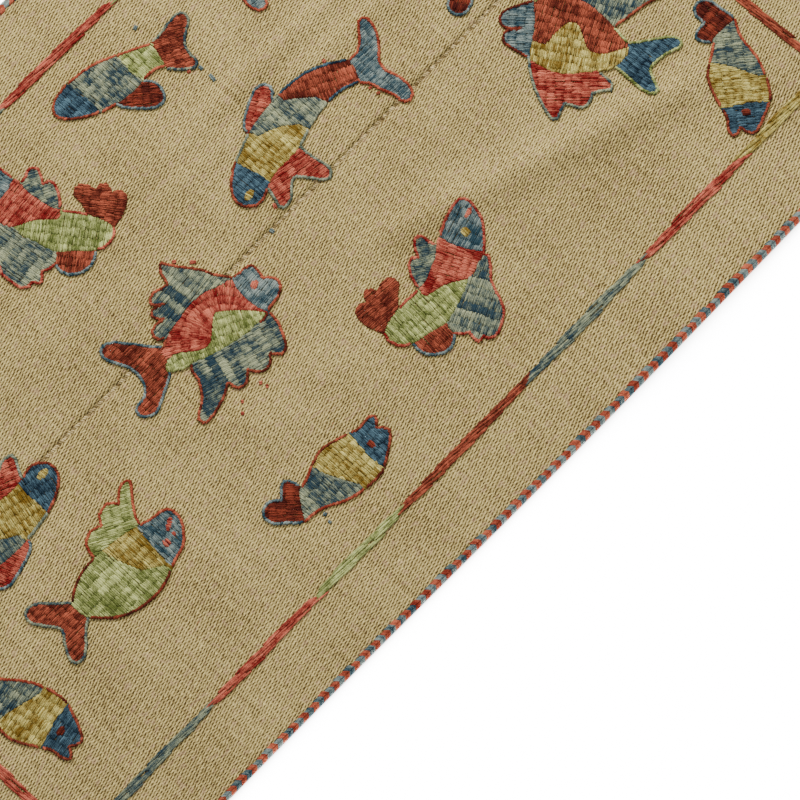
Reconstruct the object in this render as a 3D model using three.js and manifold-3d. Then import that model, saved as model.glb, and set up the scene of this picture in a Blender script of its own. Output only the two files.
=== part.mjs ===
// A hand-woven wool rug of two strips, with fish embroidered on it in coloured wool.
// Millimetres, +Z up. The origin is on the floor under the middle of the rug, X runs across
// the rug and Y along it. The rug lies flat, with its worked face up.
import * as THREE from 'three';
import { mergeVertices } from 'three/addons/utils/BufferGeometryUtils.js';
import Module from 'manifold-3d';

// ---- driving dimensions ----
const RUG_WIDTH = 600;
const RUG_LENGTH = 1000;
const CLOTH_THICKNESS = 3;
const SEAM_WIDTH = 2.4; // the yarn that laces the two strips together
const SEAM_SINK = 0.2; // how far the seam lies below the top of the cloth
const CLEARANCE = 0.3; // between any two pieces that touch on the real rug

const BINDING_WIDTH = 6; // how far the overcast yarn reaches in from the edge
const BINDING_YARN = 1.2; // thickness of the yarn outside the edge
const BINDING_YARN_ABOVE = 1.5;
const BINDING_YARN_BELOW = 0.7; // the yarn that the rug lies on is pressed flatter
const GRIPPED_SHARE = 0.4; // thickness of the cloth that the binding grips, beside loose cloth

const BORDER_INSET = 66; // from the rug's edge to the middle of the border line
const BORDER_WIDTH = 8;
const BORDER_THIN = 3.4; // width where one run of stitches gives way to the next
const BORDER_RUN = 125; // length of one colour run, nearly
const BORDER_TAPER = 0.25; // share of a run over which it swells, and over which it thins
const BORDER_RISE = 1.5;

const FISH_SCALE = 1; // size of the fish beside the drawings below
const FISH_RISE = 1.7; // thickness of the wool laid on the cloth
const FISH_MARGIN = 4; // plain cloth that is left between the fish and the border line
const DRAWN_HALF_WIDTH = 226; // half sizes of the field that the drawings were laid out for
const DRAWN_HALF_LENGTH = 426;

const CURVE_STEP = 5; // length of one straight step along a curved outline
const SAME_POINT = 1e-4; // corners closer than this are one
const PAST = 1; // how far a cutting solid reaches past what it cuts
const FAR = 400; // further from a fish's middle than any part of it
const SPIKE_LIMIT = 0.5; // keeps a sharp corner from growing into a long spike
const SHARP = true; // marks a corner in an outline, which is otherwise a smooth curve

// ---- wool colours ----
const WOOL = {
  ground: 0xb39f78,
  darkBlue: 0x3a5a73,
  slate: 0x6c7a7c,
  paleBlue: 0x8a99a3,
  gold: 0xa88c3c,
  green: 0x93945c,
  red: 0xa84a3c,
  brick: 0x7d3526,
  darkRed: 0x6e2418,
  rust: 0xb65a3a,
};

const halfWidth = RUG_WIDTH / 2;
const halfLength = RUG_LENGTH / 2;
const onCloth = CLOTH_THICKNESS + CLEARANCE;
const seamTop = CLOTH_THICKNESS - SEAM_SINK;
const grippedLow = BINDING_YARN_BELOW + CLEARANCE;
const grippedHigh = grippedLow + CLOTH_THICKNESS * GRIPPED_SHARE;
const bindingTop = grippedHigh + CLEARANCE + BINDING_YARN_ABOVE;

const wasm = await Module();
wasm.setup();

// ---- solids ----
function toSolid(geometry) {
  const bare = geometry.clone();
  bare.deleteAttribute('normal');
  bare.deleteAttribute('uv');
  const merged = mergeVertices(bare, SAME_POINT);
  return new wasm.Manifold(new wasm.Mesh({
    numProp: 3,
    vertProperties: new Float32Array(merged.attributes.position.array),
    triVerts: new Uint32Array(merged.index.array),
  }));
}

function toGeometry(solid) {
  const mesh = solid.getMesh();
  const geometry = new THREE.BufferGeometry();
  geometry.setAttribute('position', new THREE.BufferAttribute(mesh.vertProperties, 3));
  geometry.setIndex(new THREE.BufferAttribute(mesh.triVerts, 1));
  const faceted = geometry.toNonIndexed();
  faceted.computeVertexNormals();
  return faceted;
}

function box(x0, x1, y0, y1, z0, z1) {
  const geometry = new THREE.BoxGeometry(x1 - x0, y1 - y0, z1 - z0);
  geometry.translate((x0 + x1) / 2, (y0 + y1) / 2, (z0 + z1) / 2);
  return toSolid(geometry);
}

function prism(points, z0, z1) {
  const geometry = new THREE.ExtrudeGeometry(new THREE.Shape(points), {
    depth: z1 - z0,
    bevelEnabled: false,
  });
  geometry.translate(0, 0, z0);
  return toSolid(geometry);
}

// The largest of a solid's separate bodies, so that a sliver left by a cut is dropped.
function mainBody(solid) {
  const bodies = solid.decompose();
  return bodies.reduce((best, body) => (body.volume() > best.volume() ? body : best));
}

const rug = new THREE.Group();

function add(name, geometry, colour) {
  const material = new THREE.MeshStandardMaterial({ color: colour, roughness: 0.95 });
  const mesh = new THREE.Mesh(geometry, material);
  mesh.name = name;
  rug.add(mesh);
}

// ---- the woven ground and its seam ----
// Each strip is full thickness up to the binding, and thinner where the binding grips it.
// A strip is woven for one side of the seam: side is 1 on the right and -1 on the left.
const seamEdge = SEAM_WIDTH / 2 + CLEARANCE;
const clothEdgeX = halfWidth - BINDING_WIDTH - CLEARANCE;
const clothEdgeY = halfLength - BINDING_WIDTH - CLEARANCE;
const grippedEdgeX = halfWidth - BINDING_YARN - CLEARANCE;
const grippedEdgeY = halfLength - BINDING_YARN - CLEARANCE;

function wovenStrip(side) {
  const span = (edge) => (side > 0 ? [seamEdge, edge] : [-edge, -seamEdge]);
  const thick = box(...span(clothEdgeX), -clothEdgeY, clothEdgeY, 0, CLOTH_THICKNESS);
  const gripped = box(...span(grippedEdgeX), -grippedEdgeY, grippedEdgeY, grippedLow, grippedHigh);
  return toGeometry(thick.add(gripped));
}

add('woven_strip_right', wovenStrip(1), WOOL.ground);
add('woven_strip_left', wovenStrip(-1), WOOL.ground);
add(
  'centre_seam',
  toGeometry(box(-SEAM_WIDTH / 2, SEAM_WIDTH / 2, -clothEdgeY, clothEdgeY, 0, seamTop)),
  WOOL.ground,
);

// ---- the edge binding ----
// Overcast yarn around the cloth's edge: a C in section, mitred where two sides meet.
function bindingSection() {
  const high = grippedHigh + CLEARANCE;
  const inner = -BINDING_YARN;
  const chamfer = BINDING_YARN / 2;
  return [
    [-BINDING_WIDTH, 0], [-chamfer, 0], [0, chamfer], [0, bindingTop - chamfer],
    [-chamfer, bindingTop], [-BINDING_WIDTH, bindingTop - chamfer / 2], [-BINDING_WIDTH, high],
    [inner, high], [inner, BINDING_YARN_BELOW], [-BINDING_WIDTH, BINDING_YARN_BELOW],
  ].map(([x, y]) => new THREE.Vector2(x, y));
}

// One side's binding, made along Y with its outer face at x = reach, and mitred at both ends.
function binding(reach, halfRun) {
  const geometry = new THREE.ExtrudeGeometry(new THREE.Shape(bindingSection()), {
    depth: 2 * halfRun,
    bevelEnabled: false,
  });
  geometry.rotateX(Math.PI / 2);
  geometry.translate(reach, halfRun, 0);
  // The mitre runs at 45 degrees through the rug's corner.
  const gap = CLEARANCE / 2 * Math.SQRT2;
  const inside = reach - 2 * BINDING_WIDTH;
  const corner = [
    [inside, halfRun - 2 * BINDING_WIDTH - gap], [reach, halfRun - gap],
    [reach, halfRun + PAST], [inside, halfRun + PAST],
  ].map(([x, y]) => new THREE.Vector2(x, y));
  const cutter = prism(corner, -PAST, bindingTop + PAST);
  return toSolid(geometry).subtract(cutter).subtract(cutter.mirror([0, 1, 0]));
}

const sideBinding = binding(halfWidth, halfLength);
const endBinding = binding(halfLength, halfWidth);
add('edge_binding_right', toGeometry(sideBinding), WOOL.rust);
add('edge_binding_left', toGeometry(sideBinding.rotate([0, 0, 180])), WOOL.rust);
add('edge_binding_top', toGeometry(endBinding.rotate([0, 0, 90])), WOOL.rust);
add('edge_binding_bottom', toGeometry(endBinding.rotate([0, 0, -90])), WOOL.rust);

// ---- the border line ----
// Long stitches laid along a straight line. It swells in the middle of each colour run and
// thins where the next run starts.
function borderLine(reach, halfRun) {
  const runs = Math.max(1, Math.round(2 * halfRun / BORDER_RUN));
  const run = 2 * halfRun / runs;
  const taper = run * BORDER_TAPER;
  const edge = [];
  for (let i = 0; i < runs; i += 1) {
    const start = -halfRun + i * run;
    edge.push([BORDER_THIN / 2, start], [BORDER_WIDTH / 2, start + taper]);
    edge.push([BORDER_WIDTH / 2, start + run - taper]);
  }
  edge.push([BORDER_THIN / 2, halfRun]);
  const right = edge.map(([x, y]) => new THREE.Vector2(reach + x, y));
  const left = edge.map(([x, y]) => new THREE.Vector2(reach - x, y)).reverse();
  return prism([...right, ...left], onCloth, onCloth + BORDER_RISE);
}

const borderX = halfWidth - BORDER_INSET;
const borderY = halfLength - BORDER_INSET;
const cornerRoom = BORDER_WIDTH / 2 + CLEARANCE;
const sideBorder = borderLine(borderX, borderY + BORDER_WIDTH / 2);
const endBorder = borderLine(borderY, borderX - cornerRoom);
add('border_line_right', toGeometry(sideBorder), WOOL.red);
add('border_line_left', toGeometry(sideBorder.rotate([0, 0, 180])), WOOL.slate);
add('border_line_top', toGeometry(endBorder.rotate([0, 0, 90])), WOOL.gold);
add('border_line_bottom', toGeometry(endBorder.rotate([0, 0, -90])), WOOL.brick);

// ---- the fish ----
// A fish is drawn in its own frame, with its nose towards +X. body is the outline that its
// bands share. Each piece is one patch of wool, and an earlier piece keeps its full outline:
//   cut      a band of the body, everything ahead of this line from back to belly
//   patch    a patch on the body, inside this outline
//   rest     what is left of the body
//   outline  a fin, tail or other patch of its own, cut back where an earlier piece lies
const FISH_A = {
  body: [
    [6, 10, SHARP], [12, 5], [24, 4], [36, 5], [50, 4], [66, 0], [82, -8], [94, -18], [98, -28],
    [90, -36], [76, -39], [60, -38], [44, -35], [28, -28], [14, -21], [-1, -13, SHARP],
  ],
  pieces: [
    { part: 'head', colour: WOOL.darkBlue, cut: [[74, 20], [70, -10], [72, -50]] },
    { part: 'shoulder', colour: WOOL.slate, cut: [[26, 20], [29, -8], [24, -50]] },
    { part: 'loin', colour: WOOL.green, rest: true },
    {
      part: 'tail',
      colour: WOOL.brick,
      outline: [
        [7, 10, SHARP], [0, 20], [-9, 27], [-15, 25], [-16, 14], [-20, 6], [-28, 0], [-35, -4],
        [-39, -10], [-35, -16], [-24, -16], [-12, -14], [-1, -14, SHARP], [8, -5],
      ],
    },
    {
      part: 'side_fin',
      colour: WOOL.darkRed,
      outline: [
        [34, 0, SHARP], [27, 5], [22, 12], [22, 21], [26, 28], [32, 30], [39, 27], [48, 18],
        [55, 9], [58, -2, SHARP],
      ],
    },
  ],
};

const FISH_B = {
  body: [
    [82, 8], [79, 15], [70, 20], [61, 18], [53, 14], [40, 11], [22, 11], [8, 9], [-3, 5],
    [-20, 1], [-36, 0], [-50, 2], [-62, 7, SHARP], [-67, -2], [-70, -13, SHARP], [-60, -20],
    [-48, -26], [-30, -32], [-12, -34], [5, -33], [20, -31], [33, -28], [45, -24], [58, -19],
    [71, -11], [80, -1],
  ],
  pieces: [
    { part: 'head', colour: WOOL.darkBlue, cut: [[51, 25], [52, 4], [55, -8], [60, -30]] },
    {
      part: 'shoulder',
      colour: WOOL.gold,
      cut: [[-6, 14], [-1, -4], [9, -13], [20, -18], [29, -21], [34, -38]],
    },
    {
      part: 'belly',
      colour: WOOL.slate,
      cut: [[-34, 10], [-28, -10], [-16, -21], [-8, -27], [-8, -42]],
    },
    { part: 'loin', colour: WOOL.brick, rest: true },
    {
      part: 'tail',
      colour: WOOL.paleBlue,
      outline: [
        [-60, 5], [-66, 14], [-69, 26], [-73, 36], [-73, 43], [-77, 48], [-83, 47], [-87, 40],
        [-87, 28], [-84, 17], [-86, 7], [-94, -1], [-101, -9], [-106, -19], [-106, -27],
        [-101, -30], [-95, -25], [-87, -17], [-78, -12], [-68, -13], [-58, -5],
      ],
    },
    {
      part: 'back_fin',
      colour: WOOL.red,
      outline: [
        [12, 4, SHARP], [12, 22], [9, 36], [10, 43], [15, 46], [20, 44], [26, 35], [32, 27],
        [37, 25], [43, 30], [50, 36], [58, 37], [61, 33], [58, 23], [54, 8, SHARP],
      ],
    },
    {
      part: 'belly_fin',
      colour: WOOL.red,
      outline: [
        [30, -20, SHARP], [33, -28], [32, -34], [25, -40], [12, -47], [1, -51], [-7, -49],
        [-9, -43], [-5, -37], [3, -32], [10, -22, SHARP],
      ],
    },
  ],
};

const FISH_C = {
  body: [
    [50, 12, SHARP], [59, 4], [67, -3], [68, -10], [65, -14], [57, -15, SHARP], [65, -17],
    [69, -24], [66, -30], [58, -34], [48, -36], [38, -38], [22, -41], [8, -38], [-5, -30],
    [-15, -19], [-24, -6], [-30, 4], [-33, 12], [-30, 20], [-20, 28], [-8, 30], [5, 30],
    [18, 30], [32, 26], [42, 19],
  ],
  pieces: [
    { part: 'lips', colour: WOOL.slate, cut: [[51, 22], [47, 3], [43, -8], [40, -20], [38, -46]] },
    {
      part: 'side',
      colour: WOOL.gold,
      patch: [
        [52, 14, SHARP], [45, -2], [35, 2], [26, -6], [13, -15], [5, -12], [3, -3], [1, 9],
        [-4, 14], [-15, 16], [-36, 12, SHARP], [-36, 24], [-20, 36], [0, 38], [25, 38], [45, 26],
      ],
    },
    { part: 'flank', colour: WOOL.brick, rest: true },
    {
      part: 'tail',
      colour: WOOL.darkBlue,
      outline: [
        [-18, 26, SHARP], [-26, 36], [-33, 45], [-40, 54], [-47, 58], [-51, 54], [-49, 44],
        [-48, 34], [-55, 27], [-66, 21], [-75, 18], [-77, 12], [-70, 8], [-55, 8], [-42, 9],
        [-31, 9, SHARP],
      ],
    },
    {
      part: 'belly_fin',
      colour: WOOL.red,
      outline: [
        [49, 6, SHARP], [50, 28], [46, 48], [41, 62], [36, 69], [31, 63], [26, 55, SHARP],
        [20, 58], [12, 61], [6, 57], [2, 49, SHARP], [-5, 48], [-13, 48], [-15, 43], [-9, 35],
        [-2, 27, SHARP], [20, 20],
      ],
    },
    {
      part: 'back_fin',
      colour: WOOL.slate,
      outline: [
        [-22, -6, SHARP], [-34, -12], [-45, -19], [-56, -25], [-67, -29], [-66, -35],
        [-56, -37, SHARP], [-57, -45], [-48, -48], [-38, -46, SHARP], [-35, -55], [-24, -57],
        [-15, -52, SHARP], [-5, -58], [6, -54], [12, -46], [16, -36, SHARP], [0, -28],
      ],
    },
  ],
};

const FISH_E = {
  pieces: [
    {
      part: 'head',
      colour: WOOL.darkBlue,
      outline: [
        [24, 38, SHARP], [31, 43], [39, 49], [45, 44], [49, 37, SHARP], [54, 38], [60, 36],
        [63, 31], [61, 22], [56, 15], [52, 9, SHARP], [44, 13], [36, 20], [29, 28],
      ],
    },
    {
      part: 'belly',
      colour: WOOL.green,
      outline: [
        [10, 10, SHARP], [25, 11], [40, 10], [50, 8, SHARP], [44, 0], [34, -9], [20, -18],
        [5, -26], [-8, -31], [-14, -35], [-20, -36], [-27, -39], [-30, -36], [-28, -28],
        [-20, -23], [-8, -22], [4, -18], [7, -8], [8, 3],
      ],
    },
    {
      part: 'back',
      colour: WOOL.red,
      outline: [
        [24, 38, SHARP], [12, 31], [2, 27], [-8, 19], [-16, 9], [-22, 1], [-28, -8], [-31, -16],
        [-34, -22, SHARP], [-24, -30], [0, -24], [20, -5], [53, 9, SHARP], [38, 21], [30, 28],
      ],
    },
    {
      part: 'back_fin',
      colour: WOOL.slate,
      outline: [
        [24, 39, SHARP], [10, 42], [0, 46], [-15, 49], [-33, 53, SHARP], [-33, 45], [-28, 35],
        [-36, 30], [-41, 26], [-41, 18], [-32, 18, SHARP], [-40, 14], [-40, 7], [-31, 6, SHARP],
        [-38, 1], [-41, -5], [-38, -10], [-31, -11], [-24, -6], [-10, 6], [0, 18], [14, 28],
      ],
    },
    {
      part: 'belly_fin',
      colour: WOOL.slate,
      outline: [
        [48, 2, SHARP], [53, 9, SHARP], [60, 0], [64, -11], [66, -21], [62, -27],
        [53, -26, SHARP], [53, -35], [46, -41], [35, -39, SHARP], [34, -49], [27, -54],
        [19, -49, SHARP], [15, -62], [8, -74], [1, -82], [-5, -78], [-2, -62], [-4, -47],
        [-10, -35], [0, -24], [20, -14],
      ],
    },
    {
      part: 'tail',
      colour: WOOL.brick,
      outline: [
        [-27, -17, SHARP], [-40, -17], [-50, -15], [-62, -13], [-75, -12], [-82, -18],
        [-78, -26], [-68, -30], [-57, -35], [-50, -43], [-47, -52], [-49, -61], [-54, -66],
        [-53, -73], [-45, -75], [-37, -70], [-32, -57], [-26, -38, SHARP],
      ],
    },
  ],
};

const FISH_F = {
  pieces: [
    {
      part: 'head',
      colour: WOOL.darkBlue,
      outline: [
        [30, 37, SHARP], [40, 43], [50, 47], [60, 49], [66, 45], [67, 36], [65, 25], [58, 15],
        [48, 4, SHARP], [40, 14], [33, 26],
      ],
    },
    {
      part: 'shoulder',
      colour: WOOL.red,
      outline: [
        [30, 37, SHARP], [24, 34], [16, 27], [6, 22], [-4, 17], [-12, 16, SHARP], [-13, 8],
        [-2, 6], [10, 3], [20, -3], [28, -4], [38, 0], [49, 4, SHARP], [44, 18], [36, 28],
      ],
    },
    {
      part: 'body',
      colour: WOOL.green,
      outline: [
        [-11, 15, SHARP], [-30, 15], [-46, 12], [-57, 7], [-59, -2], [-54, -11], [-45, -15],
        [-30, -17], [-14, -20], [0, -15], [12, -11], [25, -3, SHARP], [14, 10],
      ],
    },
    {
      part: 'back_fin',
      colour: WOOL.slate,
      outline: [
        [-13, 13, SHARP], [-10, 27], [-5, 36], [0, 39], [5, 36, SHARP], [8, 43], [13, 49],
        [19, 46], [21, 37], [25, 32, SHARP], [10, 18],
      ],
    },
    {
      part: 'belly_fin',
      colour: WOOL.slate,
      outline: [
        [46, 2, SHARP], [49, 1], [43, -9], [35, -19], [31, -32], [26, -43], [18, -49], [8, -54],
        [1, -52], [-1, -48, SHARP], [-8, -48], [-7, -38, SHARP], [-14, -34], [-16, -26],
        [-13, -17], [5, -8], [25, 0],
      ],
    },
    {
      part: 'vent_fin',
      colour: WOOL.brick,
      outline: [
        [-46, -11, SHARP], [-47, -22], [-41, -33], [-28, -38], [-18, -33], [-13, -24],
        [-13, -14, SHARP],
      ],
    },
    {
      part: 'tail',
      colour: WOOL.brick,
      outline: [
        [-56, 4, SHARP], [-62, 15], [-65, 27], [-63, 36], [-56, 38], [-51, 35, SHARP], [-49, 41],
        [-44, 44], [-40, 41], [-38, 37, SHARP], [-30, 40], [-22, 38], [-21, 30], [-30, 22],
        [-37, 12, SHARP],
      ],
    },
  ],
};

const FISH_G = {
  body: [
    [-25, 11, SHARP], [-15, 13], [-5, 17], [4, 20], [12, 21], [24, 18], [35, 14], [45, 11],
    [55, 12], [60, 8], [54, 1, SHARP], [59, -4], [58, -10], [50, -16], [40, -22], [28, -27],
    [10, -26], [-5, -22], [-18, -15], [-28, -11], [-40, -10, SHARP], [-33, 1],
  ],
  pieces: [
    { part: 'head', colour: WOOL.darkBlue, cut: [[36, 25], [35, 5], [33, -8], [34, -35]] },
    { part: 'shoulder', colour: WOOL.gold, cut: [[-6, 25], [-1, 5], [5, -8], [11, -20], [12, -35]] },
    { part: 'loin', colour: WOOL.slate, rest: true },
    {
      part: 'tail',
      colour: WOOL.brick,
      outline: [
        [-22, 6, SHARP], [-23, 18], [-27, 25], [-33, 23], [-40, 16, SHARP], [-48, 22], [-56, 21],
        [-60, 15], [-58, 7], [-50, -1], [-42, -9], [-36, -9, SHARP],
      ],
    },
  ],
};

const FISH_H = {
  body: [
    [39, 1], [38, -8], [33, -16], [24, -24], [10, -28], [-5, -34], [-20, -36], [-38, -33],
    [-52, -26], [-62, -16], [-68, -8, SHARP], [-69, 7, SHARP], [-58, 14], [-45, 19], [-28, 20],
    [-12, 18], [5, 15], [14, 12], [25, 9], [35, 7],
  ],
  pieces: [
    { part: 'head', colour: WOOL.darkBlue, cut: [[12, 22], [9, 4], [7, -12], [5, -42]] },
    { part: 'side', colour: WOOL.gold, cut: [[-24, 30], [-19, 5], [-12, -14], [3, -24], [6, -42]] },
    { part: 'belly', colour: WOOL.green, rest: true },
    {
      part: 'tail',
      colour: WOOL.brick,
      outline: [
        [-66, -9, SHARP], [-76, -16], [-86, -26], [-96, -30], [-101, -24], [-95, -12], [-88, -1],
        [-95, 10], [-101, 22], [-96, 30], [-86, 27], [-76, 16], [-67, 8, SHARP],
      ],
    },
    {
      part: 'back_fin',
      colour: WOOL.green,
      outline: [
        [12, 10, SHARP], [17, 22], [24, 31], [31, 39], [33, 45], [24, 45], [14, 37, SHARP],
        [8, 43], [-2, 42], [-8, 34, SHARP], [-17, 37], [-27, 32], [-31, 18, SHARP], [-10, 14],
      ],
    },
  ],
};

// Where each fish is worked on the field: the middle of its drawing and the way its nose points,
// in degrees from +X. These are worked patch by patch.
const WORKED_IN_PATCHES = [
  { name: 'fish_a', drawing: FISH_A, at: [-170, 75], turn: -90 },
  { name: 'fish_b', drawing: FISH_B, at: [-42, 105], turn: -90 },
  { name: 'fish_c', drawing: FISH_C, at: [75, 322], turn: -130 },
  { name: 'fish_e', drawing: FISH_E, at: [15, -70], turn: 45 },
  { name: 'fish_f', drawing: FISH_F, at: [138, 80], turn: 85 },
  { name: 'fish_g', drawing: FISH_G, at: [176, -92], turn: 90 },
  { name: 'fish_h', drawing: FISH_H, at: [105, -235], turn: 90 },
];

// These repeat a drawing, and each is one solid. mirror turns the drawing over, back to belly.
const WORKED_WHOLE = [
  { name: 'fish_d', drawing: FISH_G, at: [-65, 302], turn: 160, colour: WOOL.gold },
  { name: 'fish_i', drawing: FISH_G, at: [178, 384], turn: -40, mirror: true, colour: WOOL.red },
  { name: 'fish_j', drawing: FISH_B, at: [-176, 245], turn: 84, mirror: true, colour: WOOL.slate },
  { name: 'fish_k', drawing: FISH_H, at: [-78, 391], turn: 178, colour: WOOL.green },
  { name: 'fish_l', drawing: FISH_F, at: [-138, -98], turn: 215, mirror: true, colour: WOOL.red },
  { name: 'fish_m', drawing: FISH_A, at: [-118, -216], turn: 168, mirror: true, colour: WOOL.brick },
  { name: 'fish_n', drawing: FISH_C, at: [-152, -358], turn: 172, colour: WOOL.gold },
  { name: 'fish_o', drawing: FISH_B, at: [2, -316], turn: 78, colour: WOOL.slate },
  { name: 'fish_p', drawing: FISH_G, at: [122, -392], turn: 10, mirror: true, colour: WOOL.gold },
];

// The drawings are scaled to the field inside the border line, and their places spread over it.
const fieldHalfWidth = borderX - BORDER_WIDTH / 2 - FISH_MARGIN;
const fieldHalfLength = borderY - BORDER_WIDTH / 2 - FISH_MARGIN;
const spreadX = fieldHalfWidth / DRAWN_HALF_WIDTH;
const spreadY = fieldHalfLength / DRAWN_HALF_LENGTH;
const fishScale = FISH_SCALE * Math.min(spreadX, spreadY);

// A closed outline through the points: a smooth curve from one corner to the next.
function trace(points, scale) {
  const places = points.map(([x, y]) => new THREE.Vector2(x * scale, y * scale));
  const first = points.findIndex((point) => point[2]);
  const smooth = first < 0;
  const count = points.length;
  const start = smooth ? 0 : first;
  const path = [];
  const runs = [];
  let run = [places[start]];
  for (let i = 1; i <= count; i += 1) {
    const index = (start + i) % count;
    run.push(places[index]);
    if (points[index][2] || i === count) {
      runs.push(run);
      run = [places[index]];
    }
  }
  for (const corners of runs) {
    // An outline with no corner joins up with itself, so its curve runs past the joint.
    const curve = smooth
      ? new THREE.CatmullRomCurve3(places.map((p) => new THREE.Vector3(p.x, p.y, 0)), true)
      : new THREE.SplineCurve(corners);
    const steps = Math.max(corners.length - 1, Math.round(curve.getLength() / CURVE_STEP));
    for (let i = 0; i < steps; i += 1) {
      const p = curve.getPointAt(i / steps);
      path.push(new THREE.Vector2(p.x, p.y));
    }
  }
  return THREE.ShapeUtils.isClockWise(path) ? path.reverse() : path;
}

// The same outline with each point moved out by a distance, square to the outline there.
function grow(outline, distance) {
  const count = outline.length;
  return outline.map((point, i) => {
    const before = outline[(i + count - 1) % count];
    const after = outline[(i + 1) % count];
    const along = point.clone().sub(before).normalize();
    const next = after.clone().sub(point).normalize();
    const out = new THREE.Vector2(along.y + next.y, -along.x - next.x).normalize();
    const reach = Math.max(SPIKE_LIMIT, out.dot(new THREE.Vector2(next.y, -next.x)));
    return point.clone().addScaledVector(out, distance / reach);
  });
}

// A piece's own solid, and the same solid grown by a margin on every side.
function pieceSolid(piece, body, scale, margin) {
  const low = onCloth - margin;
  const high = onCloth + FISH_RISE + margin;
  const made = (outline) => prism(margin ? grow(outline, margin) : outline, low, high);
  if (piece.outline) return made(trace(piece.outline, scale));
  const whole = made(trace(body, scale));
  if (piece.rest) return whole;
  if (piece.patch) return whole.intersect(made(trace(piece.patch, scale)));
  const line = piece.cut.map(([x, y]) => new THREE.Vector2(x * scale, y * scale));
  const ahead = [...line, new THREE.Vector2(FAR, line.at(-1).y), new THREE.Vector2(FAR, line[0].y)];
  return whole.intersect(made(THREE.ShapeUtils.isClockWise(ahead) ? ahead.reverse() : ahead));
}

function place(solid, fish) {
  const faced = fish.mirror ? solid.mirror([0, 1, 0]) : solid;
  const [x, y] = fish.at;
  return faced.rotate([0, 0, fish.turn]).translate([x * spreadX, y * spreadY, 0]);
}

for (const fish of WORKED_IN_PATCHES) {
  const { body, pieces } = fish.drawing;
  const laid = [];
  for (const piece of pieces) {
    const cut = laid.reduce(
      (solid, other) => solid.subtract(other),
      pieceSolid(piece, body, fishScale, 0),
    );
    add(`${fish.name}_${piece.part}`, toGeometry(place(mainBody(cut), fish)), piece.colour);
    laid.push(pieceSolid(piece, body, fishScale, CLEARANCE));
  }
}

for (const fish of WORKED_WHOLE) {
  const { body, pieces } = fish.drawing;
  const whole = pieces
    .map((piece) => pieceSolid(piece, body, fishScale, 0))
    .reduce((solid, other) => solid.add(other));
  add(fish.name, toGeometry(place(mainBody(whole), fish)), fish.colour);
}

export default rug;
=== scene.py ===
"""A hand-woven wool rug with embroidered fish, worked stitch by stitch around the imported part."""
import math
import random

import bmesh
import bpy
import numpy as np
from bpy.props import FloatProperty, FloatVectorProperty, IntProperty, PointerProperty
from mathutils import Matrix, Vector, noise


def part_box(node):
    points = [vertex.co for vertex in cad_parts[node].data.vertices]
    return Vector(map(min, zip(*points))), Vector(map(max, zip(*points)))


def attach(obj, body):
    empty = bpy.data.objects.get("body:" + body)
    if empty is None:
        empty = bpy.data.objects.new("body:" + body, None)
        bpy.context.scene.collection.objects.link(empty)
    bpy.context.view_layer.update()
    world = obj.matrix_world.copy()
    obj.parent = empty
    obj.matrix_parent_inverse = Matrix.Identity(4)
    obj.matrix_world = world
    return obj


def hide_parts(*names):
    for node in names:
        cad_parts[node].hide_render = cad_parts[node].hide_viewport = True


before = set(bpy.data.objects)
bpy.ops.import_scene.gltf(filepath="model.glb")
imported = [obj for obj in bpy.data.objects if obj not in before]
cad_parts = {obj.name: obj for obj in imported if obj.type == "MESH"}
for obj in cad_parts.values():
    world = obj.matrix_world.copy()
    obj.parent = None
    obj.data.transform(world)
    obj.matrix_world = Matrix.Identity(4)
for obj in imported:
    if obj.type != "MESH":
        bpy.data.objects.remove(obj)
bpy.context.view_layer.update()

bl_info = {
    "name": "Embroidered Fish Rug",
    "version": (1, 0, 0),
    "blender": (4, 5, 0),
    "location": "View3D > Sidebar > Rug",
    "description": "Weaves, binds and embroiders a flat wool rug around its packed part",
    "category": "Object",
}

MM = 0.001
BODY = "root"
GROUND = "ground wool"

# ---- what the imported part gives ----
CLOTH_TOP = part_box("woven_strip_right")[1].z
SEAM_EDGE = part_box("centre_seam")[1].x
EDGE_LOW, EDGE_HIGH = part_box("edge_binding_right")
HALF_WIDTH, HALF_LENGTH = EDGE_HIGH.x, EDGE_HIGH.y
BORDER_X = sum(corner.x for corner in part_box("border_line_right")) / 2
BORDER_Y = sum(corner.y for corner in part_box("border_line_top")) / 2


def srgb(red, green, blue):
    """A colour given as screen values from 0 to 255, in the linear values that Blender keeps."""
    def linear(value):
        value /= 255
        return value / 12.92 if value <= 0.04045 else ((value + 0.055) / 1.055) ** 2.4
    return linear(red), linear(green), linear(blue)


def dye(name, description, colour):
    return FloatVectorProperty(
        name=name, description=description, subtype="COLOR", size=3, min=0, max=1,
        default=srgb(*colour))


def length(name, description, millimetres):
    return FloatProperty(
        name=name, description=description, unit="LENGTH", subtype="DISTANCE", min=0,
        default=millimetres * MM)


# ---- sizes and colours that a user would change ----
class RugCloth(bpy.types.PropertyGroup):
    """The woven ground, its seam and its bound edge."""
    cell: length("Cell", "Side of one square of the cloth's mesh", 5)
    warp_pitch: length("Warp pitch", "From one warp yarn to the next", 1.205)
    weft_pitch: length("Weft pitch", "Length of one float of the warp", 3.41)
    relief: length("Relief", "Height of a warp float over the gaps", 0.95)
    wave: length("Wave", "Height of the cloth's slow waves", 1.0)
    sway: length("Sway", "How far the long edge strays from a straight line", 10)
    kick: length("Kick", "How far the long edge rises from the floor", 3.0)
    fold: length("Fold", "Height of the tallest soft fold", 7.0)
    bundle: length("Bundle", "Run of one colour along the bound edge", 5.6)
    strands: IntProperty(
        name="Strands", description="Strands of yarn in one bundle", default=4, min=1, max=8)
    straw: dye("Straw", "Light tone of the undyed ground", (255, 228, 148))
    # Painted shade: the colour that the gaps between the ground's yarns are mixed toward.
    shadow: dye("Shadow", "Tone of the gaps between the ground's yarns", (92, 70, 34))


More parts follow.
